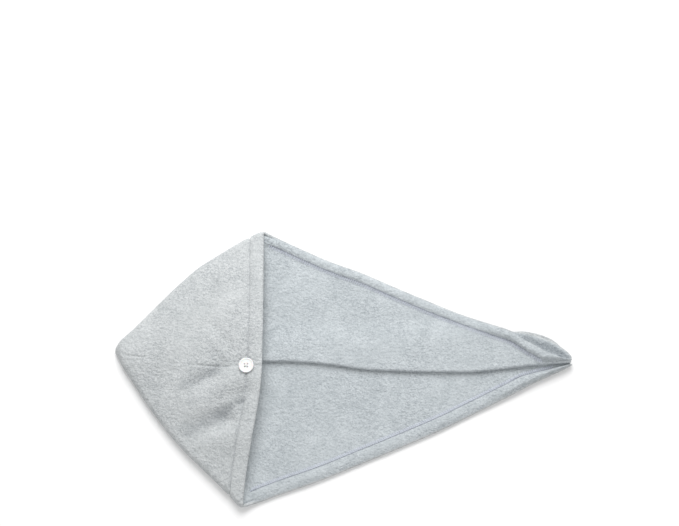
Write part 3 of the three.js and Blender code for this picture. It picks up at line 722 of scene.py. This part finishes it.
def add_math(tree, operation, a, b, clamped=False):
    node = tree.nodes.new("ShaderNodeMath")
    node.operation = operation
    node.use_clamp = clamped
    for socket, value in zip(node.inputs, (a, b)):
        if isinstance(value, bpy.types.NodeSocket):
            tree.links.new(value, socket)
        else:
            socket.default_value = value
    return node.outputs[0]


def add_range(tree, value, from_min, from_max, to_min, to_max):
    node = add_node(tree, "ShaderNodeMapRange", {
        "Value": value, "From Min": from_min, "From Max": from_max, "To Min": to_min, "To Max": to_max,
    }, interpolation_type="SMOOTHSTEP")
    return node.outputs["Result"]


def add_mix(tree, factor, a, b):
    node = add_node(tree, "ShaderNodeMix", data_type="RGBA")
    for key, value in ((0, factor), (6, a), (7, b)):
        if isinstance(value, bpy.types.NodeSocket):
            tree.links.new(value, node.inputs[key])
        else:
            node.inputs[key].default_value = value
    return node.outputs[2]


def darkened(tree, colour, shade):
    node = add_node(
        tree, "ShaderNodeMix", {0: 1.0, 6: colour, 7: shade}, data_type="RGBA", blend_type="MULTIPLY")
    return node.outputs[2]


def fleece_material():
    """Brushed coral fleece: a short pile in soft tufts, brushed one way and the other in patches."""
    material, tree, shader = node_tree("brushed_fleece")
    place = tree.nodes.new("ShaderNodeTexCoord").outputs["Object"]
    patches = add_noise(tree, place, 26, 3, 0.6, 0.6)
    brushed = add_node(tree, "ShaderNodeMapping", {
        "Vector": place, "Rotation": (0, 0, 0.5), "Scale": (1, 2.2, 1),
    })
    streaks = add_noise(tree, brushed.outputs[0], 85, 4, 0.6, 0.8)
    grain = add_noise(tree, place, 330, 4, 0.6)
    fibres = add_noise(tree, place, 950, 3, 0.6)
    tufts = add_node(tree, "ShaderNodeTexVoronoi", {"Vector": place, "Scale": 300, "Smoothness": 0.6},
                     feature="SMOOTH_F1").outputs["Distance"]
    specks = add_noise(tree, brushed.outputs[0], 300, 2, 0.5, 1.6)
    # The painted shade attribute; it also makes the pile's specks show more
    crush_and_painted_shade = add_node(tree, "ShaderNodeAttribute", attribute_name="crush_and_painted_shade").outputs["Fac"]
    where = add_range(tree, add_noise(tree, place, 14, 2), 0.35, 0.65, 0.55, 1.0)
    where = add_math(tree, "ADD", where, add_math(tree, "MULTIPLY", crush_and_painted_shade, 0.4))
    speckled = add_math(tree, "MULTIPLY", add_range(tree, specks, 0.42, 0.64, 0, 1), where, True)
    tone = add_math(tree, "MULTIPLY", add_range(tree, patches, 0.3, 0.7, 0, 1), 0.35)
    for layer, share in ((streaks, 0.35), (grain, 0.3)):
        added = add_math(tree, "MULTIPLY", add_range(tree, layer, 0.3, 0.7, 0, 1), share)
        tone = add_math(tree, "ADD", tone, added)
    colour = add_mix(tree, tone, (0.455, 0.48, 0.485, 1), (0.625, 0.645, 0.65, 1))
    inside = add_node(tree, "ShaderNodeAttribute", attribute_name="inside").outputs["Fac"]
    bluish = add_mix(tree, tone, (0.425, 0.463, 0.482, 1), (0.585, 0.624, 0.644, 1))
    colour = add_mix(tree, inside, colour, bluish)
    colour = darkened(tree, colour, add_mix(tree, speckled, (1, 1, 1, 1), (0.62, 0.63, 0.65, 1)))
    # Painted shade: darker colour in the dents and behind the tip's roll
    colour = darkened(tree, colour, add_mix(tree, crush_and_painted_shade, (1, 1, 1, 1), PAINTED_SHADE_TINT))
    tree.links.new(colour, shader.inputs["Base Color"])
    height = add_math(tree, "MULTIPLY", tufts, -0.7)
    for layer, share in ((grain, 0.9), (fibres, 0.45), (streaks, 0.8)):
        height = add_math(tree, "ADD", height, add_math(tree, "MULTIPLY", layer, share))
    bump = add_node(tree, "ShaderNodeBump", {"Height": height, "Strength": 0.9, "Distance": 0.0014})
    tree.links.new(bump.outputs[0], shader.inputs["Normal"])
    shader.inputs["Roughness"].default_value = 1.0
    shader.inputs["Specular IOR Level"].default_value = 0.15
    shader.inputs["Sheen Weight"].default_value = 0.35
    shader.inputs["Sheen Roughness"].default_value = 0.45
    return material


def thread_material(name, dark, light):
    """Twisted sewing thread: fine slanting plies and a little unevenness in its colour."""
    material, tree, shader = node_tree(name)
    place = tree.nodes.new("ShaderNodeTexCoord").outputs["Object"]
    plies = add_node(tree, "ShaderNodeTexWave", {
        "Vector": place, "Scale": 420, "Distortion": 1.5, "Detail": 1,
    }, bands_direction="DIAGONAL").outputs["Fac"]
    uneven = add_noise(tree, place, 260, 2)
    tone = add_math(tree, "MULTIPLY", plies, uneven)
    colour = add_mix(tree, add_range(tree, tone, 0.05, 0.5, 0, 1), dark, light)
    tree.links.new(colour, shader.inputs["Base Color"])
    bump = add_node(tree, "ShaderNodeBump", {"Height": plies, "Strength": 0.5, "Distance": 0.0002})
    tree.links.new(bump.outputs[0], shader.inputs["Normal"])
    shader.inputs["Roughness"].default_value = 0.8
    shader.inputs["Sheen Weight"].default_value = 0.2
    return material


def button_material():
    """Glossy moulded polyester with faint cloudiness and fine polishing marks."""
    material, tree, shader = node_tree("button_polyester")
    place = tree.nodes.new("ShaderNodeTexCoord").outputs["Object"]
    cloud = add_noise(tree, place, 160, 3)
    colour = add_mix(tree, cloud, (0.75, 0.75, 0.745, 1), (0.83, 0.83, 0.825, 1))
    tree.links.new(colour, shader.inputs["Base Color"])
    scuffs = add_noise(tree, place, 1400, 3)
    tree.links.new(add_range(tree, scuffs, 0.3, 0.8, 0.16, 0.3), shader.inputs["Roughness"])
    bump = add_node(tree, "ShaderNodeBump", {"Height": cloud, "Strength": 0.15, "Distance": 0.0002})
    tree.links.new(bump.outputs[0], shader.inputs["Normal"])
    shader.inputs["Subsurface Weight"].default_value = 0.15
    shader.inputs["Subsurface Scale"].default_value = 0.002
    return material


def floor_material():
    material, tree, shader = node_tree("floor_paper")
    place = tree.nodes.new("ShaderNodeTexCoord").outputs["Object"]
    cloud = add_noise(tree, place, 3, 2)
    colour = add_mix(tree, cloud, (0.90, 0.90, 0.90, 1), (0.92, 0.92, 0.92, 1))
    tree.links.new(colour, shader.inputs["Base Color"])
    shader.inputs["Roughness"].default_value = 0.9
    shader.inputs["Specular IOR Level"].default_value = 0.1
    return material


# The cloth

FLEECE = fleece_material()
sheet, middle_faces, middle_normals, outer_face, inner_face, inner_painted_shade = cloth_grids()
vertices, faces, facts = closed_cloth(
    sheet, middle_faces, middle_normals, outer_face, inner_face, inner_painted_shade)
towel = new_object("turban_towel", vertices, faces, FLEECE, facts)
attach(towel, "root")
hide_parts("fleece_body")


# Stitches

def along_grid(surface, grid, rows, columns):
    """Points of a face at fractional rows and columns of a layer's grid."""
    i = np.clip(rows.astype(int), 0, grid.shape[0] - 2)
    j = np.clip(columns.astype(int), 0, grid.shape[1] - 2)
    u, v = (rows - i)[:, None], (columns - j)[:, None]
    return (surface[grid[i, j]] * (1 - u) * (1 - v) + surface[grid[i + 1, j]] * u * (1 - v)
            + surface[grid[i, j + 1]] * (1 - u) * v + surface[grid[i + 1, j + 1]] * u * v)


def capsules(starts, ends, radius, sides=6):
    """Closed little rods with rounded ends, one for each pair of points."""
    axis = unit(ends - starts)
    up = np.where(np.abs(axis[:, 2:3]) < 0.9, np.array([[0.0, 0.0, 1.0]]), np.array([[1.0, 0.0, 0.0]]))
    side = unit(np.cross(axis, up))
    other = np.cross(axis, side)
    stops = [(0.0, 0.45), (0.12, 0.9), (0.5, 1.0), (0.88, 0.9), (1.0, 0.45)]
    rings = []
    for share, swell in stops:
        centre = starts + (ends - starts) * share
        for k in range(sides):
            angle = 2 * math.pi * k / sides
            rings.append(centre + radius * swell * (side * math.cos(angle) + other * math.sin(angle)))
    points = np.stack(rings, axis=1)
    per = points.shape[1]
    faces = []
    for n in range(len(starts)):
        base = n * per
        for ring in range(len(stops) - 1):
            for k in range(sides):
                a, b = base + ring * sides + k, base + ring * sides + (k + 1) % sides
                faces.append((a, b, b + sides, a + sides))
        faces.append(tuple(base + k for k in reversed(range(sides))))
        faces.append(tuple(base + per - sides + k for k in range(sides)))
    return points.reshape(-1, 3), faces


def join(parts):
    """Several (points, faces) as one."""
    points, faces, base = [], [], 0
    for some_points, some_faces in parts:
        points.append(some_points)
        faces += [tuple(base + v for v in face) for face in some_faces]
        base += len(some_points)
    return np.concatenate(points), faces


def line_points(surface, grid, rows, columns, pitch):
    """Even steps along a line on a face of the cloth."""
    places = along_grid(surface, grid, rows, columns)
    gone = gone_along(places)
    stops = np.arange(pitch, gone[-1] - pitch, pitch)
    line = np.stack([np.interp(stops, gone, places[:, k]) for k in range(3)], axis=1)
    line[:, 2] = np.maximum(line[:, 2], TICK)
    return line


def running_stitches(places, pitch_share=0.72):
    ends = places[:-1] + (places[1:] - places[:-1]) * pitch_share
    return places[:-1], ends


def tail_line(offset, top):
    """Rows and columns of a line along one edge of the tail, at an offset from where its hem ends."""
    first = sheet.hood_rows + 1
    last = sheet.back.shape[0] - (UPPER_LINE_STOPS if top else LOWER_LINE_STOPS)
    rows = np.arange(first, last)
    columns = []
    for row in rows:
        numbers = sheet.back[row] if top else sheet.back[row][::-1]
        half = COLUMNS // 2
        inset = sheet.line[numbers[0]] + offset
        column = np.interp(inset, sheet.free[numbers[:half]], np.arange(half))
        columns.append(column if top else COLUMNS - 1 - column)
    return rows.astype(float), np.array(columns)


def front_line(inset):
    """Rows and columns of a line at a set distance from the pocket's rim."""
    row = np.interp(-inset, -sheet.free[sheet.front[:, COLUMNS // 2]], np.arange(sheet.hood_rows))
    columns = np.arange(3, COLUMNS - 3, dtype=float)
    return np.full(len(columns), row), columns


PITCH = 3.4
TICK_PITCH = 3.0
STITCH = 0.26
# Radius of the stitch line in the hem's groove, whose near-black colour is painted shade
GROOVE_SHADE_STITCH = 0.4
TICK = 0.36
SUNKEN_LINE = 17.4
COVER_FROM = -0.9
COVER_TO = 4.2
COVER_LIFT = 0.35
GROOVE_SHADE_LIFT = 0.3
GROOVE_SHADE_SHARE = 0.9
NEEDLE_FROM = -0.6

# Rows of the cloth between the end of a hem's stitches and the tip
UPPER_LINE_STOPS = 14
LOWER_LINE_STOPS = 8

tick_parts, groove_shade_parts = [], []
for top in (True, False):
    near, far = (line_points(inner_face, sheet.back, *tail_line(offset, top), TICK_PITCH)
                 for offset in (COVER_FROM, COVER_TO))
    count = min(len(near), len(far))
    tick_parts.append(capsules(near[:count - 1], far[1:count], TICK))
    # A running stitch line in each hem's groove, coloured near black as painted shade of the groove
    hem_line = line_points(inner_face, sheet.back, *tail_line(COVER_FROM, top), PITCH)
    groove_shade_parts.append(capsules(*running_stitches(hem_line, GROOVE_SHADE_SHARE), GROOVE_SHADE_STITCH))
points, faces = join(tick_parts)
points[:, 2] += COVER_LIFT
cover_stitches = new_object(
    "hem_cover_stitches", points, faces,
    thread_material("hem_thread_lavender", (0.60, 0.63, 0.74, 1), (0.74, 0.77, 0.87, 1)))
# The groove's stitch line is real; its dark thread colour is painted shade
points, faces = join(groove_shade_parts)
points[:, 2] += GROOVE_SHADE_LIFT
hem_groove_shade_stitches = new_object(
    "hem_groove_shade_stitches", points, faces,
    thread_material("hem_thread_groove_shade", (0.13, 0.145, 0.19, 1), (0.24, 0.26, 0.32, 1)))

parts_outside = [capsules(*running_stitches(
    line_points(outer_face, sheet.front, *front_line(SUNKEN_LINE), PITCH)), STITCH)]
for top in (True, False):
    parts_outside.append(capsules(*running_stitches(
        line_points(outer_face, sheet.back, *tail_line(NEEDLE_FROM, top), PITCH)), STITCH))
points, faces = join(parts_outside)
needle_stitches = new_object(
    "hem_needle_stitches", points, faces,
    thread_material("hem_thread_grey", (0.24, 0.26, 0.29, 1), (0.38, 0.40, 0.44, 1)))
for stitches in (cover_stitches, hem_groove_shade_stitches, needle_stitches):
    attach(stitches, "root")


# The button, its thread and the elastic loop

def tube(places, radius, sides=10, twist=0.0, ribs=0.0, rib_count=2):
    """A closed round cord along its points; ribs wind round it as plies do."""
    places = np.asarray(places, float)
    forward = unit(np.gradient(places, axis=0))
    side = unit(np.cross(forward[0], [0.0, 0.0, 1.0]) + 1e-9)
    rings = []
    for k, place in enumerate(places):
        side = unit(side - forward[k] * np.dot(side, forward[k]))
        other = np.cross(forward[k], side)
        for n in range(sides):
            angle = 2 * math.pi * n / sides
            swell = radius * (1 + ribs * math.cos(rib_count * angle + twist * k))
            rings.append(place + swell * (side * math.cos(angle) + other * math.sin(angle)))
    faces = []
    for k in range(len(places) - 1):
        for n in range(sides):
            a, b = k * sides + n, k * sides + (n + 1) % sides
            faces.append((a, b, b + sides, a + sides))
    faces.append(tuple(reversed(range(sides))))
    faces.append(tuple((len(places) - 1) * sides + n for n in range(sides)))
    return np.array(rings), faces


BUTTON_THICKNESS = 3.4
BUTTON_RIM = 2.2
BUTTON_DISH = 1.1
BUTTON_HOLE = 2
HOLE_SPACING = 3.8
THREAD = 1
BUTTON_SEGMENTS = 96

button_x, button_y = button_place()
button_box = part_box("button")
button_low = button_box[0][2] / MM


def button_profile():
    radius = BUTTON_DIAMETER / 2
    dish = radius - BUTTON_RIM
    floor = BUTTON_THICKNESS - BUTTON_DISH
    corners = np.array([
        (radius * 0.3, 0.02), (radius * 0.8, 0.0), (radius * 0.93, BUTTON_THICKNESS * 0.12),
        (radius, BUTTON_THICKNESS * 0.4), (radius * 0.985, BUTTON_THICKNESS * 0.72),
        (radius * 0.94, BUTTON_THICKNESS * 0.94), (radius - BUTTON_RIM * 0.5, BUTTON_THICKNESS),
        (dish + BUTTON_RIM * 0.2, BUTTON_THICKNESS - BUTTON_DISH * 0.2),
        (dish, BUTTON_THICKNESS - BUTTON_DISH * 0.6), (dish * 0.85, floor + BUTTON_DISH * 0.08),
        (dish * 0.65, floor), (radius * 0.3, floor),
    ])
    gone = gone_along(corners)
    fine = np.linspace(0, gone[-1], 60)
    profile = np.stack([np.interp(fine, gone, corners[:, k]) for k in range(2)], axis=1)
    for _ in range(6):
        profile[1:-1] = (profile[:-2] + 2 * profile[1:-1] + profile[2:]) / 4
    return profile


def turned_button():
    profile = button_profile()
    points = [(0.0, 0.0, profile[0, 1])]
    for r, z in profile:
        for n in range(BUTTON_SEGMENTS):
            angle = 2 * math.pi * n / BUTTON_SEGMENTS
            points.append((r * math.cos(angle), r * math.sin(angle), z))
    points.append((0.0, 0.0, profile[-1, 1]))
    faces = []
    for n in range(BUTTON_SEGMENTS):
        after = (n + 1) % BUTTON_SEGMENTS
        faces.append((0, 1 + after, 1 + n))
        for ring in range(len(profile) - 1):
            base = 1 + ring * BUTTON_SEGMENTS
            above = base + BUTTON_SEGMENTS
            faces.append((base + n, base + after, above + after, above + n))
        base = 1 + (len(profile) - 1) * BUTTON_SEGMENTS
        faces.append((base + n, base + after, len(points) - 1))
    return np.array(points) + [button_x, button_y, button_low], faces


def hole_places():
    half = HOLE_SPACING / 2
    return [(half, half), (-half, half), (-half, -half), (half, -half)]


def drilled(obj):
    """Cuts the button's four holes."""
    drills = []
    for x, y in hole_places():
        ends = [(button_x + x, button_y + y, button_low + z) for z in (-2.0, BUTTON_THICKNESS + 2.0)]
        drills.append(tube(np.linspace(ends[0], ends[1], 3), BUTTON_HOLE / 2, 28))
    points, faces = join(drills)
    cutter = new_object("drills", points, faces, obj.data.materials[0])
    cut = obj.modifiers.new("holes", "BOOLEAN")
    cut.operation = "DIFFERENCE"
    cut.solver = "EXACT"
    cut.object = cutter
    bpy.context.view_layer.update()
    evaluated = obj.evaluated_get(bpy.context.evaluated_depsgraph_get())
    mesh = bpy.data.meshes.new_from_object(evaluated)
    obj.modifiers.clear()
    obj.data = mesh
    bpy.data.objects.remove(cutter)
    return obj


points, faces = turned_button()
button = drilled(new_object("four_hole_button", points, faces, button_material()))
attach(button, "root")
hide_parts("button")


def stitch_path(start, end, lift, spread):
    """One pass of thread over the dish from hole to hole, down through both holes."""
    top = button_low + BUTTON_THICKNESS - BUTTON_DISH + CLEARANCE + THREAD / 2 + lift
    low = top - 3.1
    a = np.array([button_x + start[0], button_y + start[1], 0.0])
    b = np.array([button_x + end[0], button_y + end[1], 0.0])
    across = unit(np.cross(b - a, [0.0, 0.0, 1.0])) * spread
    shares = np.linspace(0, 1, 25)
    arch = [a + (b - a) * s + across * math.sin(math.pi * s) for s in shares]
    places = [np.array([*(a[:2]), low]), np.array([*(a[:2]), (low + top) / 2])]
    places += [np.array([p[0], p[1], top - 0.55 * (2 * s - 1) ** 6]) for p, s in zip(arch, shares)]
    places += [np.array([*(b[:2]), (low + top) / 2]), np.array([*(b[:2]), low])]
    return np.array(places)


holes = hole_places()
thread_parts = []
for start, end, lift in ((holes[0], holes[2], 0.0), (holes[1], holes[3], 0.12)):
    for spread in (-0.34, 0.0, 0.34):
        path = stitch_path(start, end, lift + 0.05 * (spread == 0.0), spread)
        thread_parts.append(tube(path, 0.3, 10, 0.9, 0.08))
points, faces = join(thread_parts)
button_thread = new_object("button_stitches", points, faces,
                           thread_material("button_cotton", (0.74, 0.74, 0.73, 1), (0.88, 0.88, 0.87, 1)))
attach(button_thread, "root")
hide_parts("button_thread")


def loop_route():
    """The elastic's teardrop on the surface under the tip, as in the part's source."""
    tip = LENGTH - LOOP_FROM_TIP
    half = LOOP_WIDTH - LOOP_CORD
    route = [(0, 0.1), (0.3, 0.2), (0.6, 0.42), (0.85, 0.44), (1, 0)]
    one = [(tip - along * LOOP_LENGTH, across * half, LOOP_CORD / 2) for along, across in route]
    return one + [(x, -y, z) for x, y, z in one[-2::-1]]


def catmull_rom(corners, steps):
    corners = np.array(corners, float)
    padded = np.concatenate([[2 * corners[0] - corners[1]], corners, [2 * corners[-1] - corners[-2]]])
    places = []
    for k in range(1, len(padded) - 2):
        before, a, b, after = padded[k - 1:k + 3]
        for t in np.linspace(0, 1, steps, endpoint=False):
            places.append(0.5 * (2 * a + (b - before) * t + (2 * before - 5 * a + 4 * b - after) * t ** 2
                                 + (3 * a - before - 3 * b + after) * t ** 3))
    places.append(corners[-1])
    return np.array(places)


points, faces = tube(catmull_rom(loop_route(), 24), LOOP_CORD / 2 - 0.08, 16, 0.55, 0.06, 4)
loop = new_object("covered_elastic_loop", points, faces,
                  thread_material("elastic_cover", (0.36, 0.38, 0.40, 1), (0.52, 0.54, 0.56, 1)))
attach(loop, "root")
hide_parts("elastic_loop")


# Floor, light and camera

FLOOR_SIZE = 8.0
bpy.ops.mesh.primitive_plane_add(size=FLOOR_SIZE, location=(0, 0, -0.0004))
floor = bpy.context.object
floor.name = "studio_floor"
floor.data.materials.append(floor_material())


def area_light(name, place, aim, size, power):
    light = bpy.data.lights.new(name, "AREA")
    light.shape = "DISK"
    light.size = size
    light.energy = power
    obj = bpy.data.objects.new(name, light)
    obj.location = place
    obj.rotation_euler = (Vector(aim) - Vector(place)).to_track_quat("-Z", "Y").to_euler()
    bpy.context.scene.collection.objects.link(obj)
    return obj


area_light("key_light", (-0.1, 1.25, 1.2), (0, 0, 0), 1.4, 33)
area_light("front_fill", (0.5, -1.4, 1.6), (0, 0, 0), 1.8, 14)

world = bpy.data.worlds.new("studio_world")
world.use_nodes = True
world.node_tree.nodes["Background"].inputs["Color"].default_value = (1.0, 1.0, 1.0, 1)
world.node_tree.nodes["Background"].inputs["Strength"].default_value = 0.47
bpy.context.scene.world = world
bpy.context.scene.view_settings.view_transform = "Standard"

PHOTO_WIDTH = 679
FOCAL_PIXELS = 1000
SENSOR = 36.0
CAMERA_PLACE = (-0.0049, -0.2968, 1.3743)
CAMERA_TILT = 18
camera_data = bpy.data.cameras.new("photo_camera")
camera_data.sensor_fit = "HORIZONTAL"
camera_data.sensor_width = SENSOR
camera_data.lens = SENSOR * FOCAL_PIXELS / PHOTO_WIDTH
camera = bpy.data.objects.new("photo_camera", camera_data)
camera.location = CAMERA_PLACE
camera.rotation_euler = (math.radians(CAMERA_TILT), 0, 0)
bpy.context.scene.collection.objects.link(camera)
bpy.context.scene.camera = camera
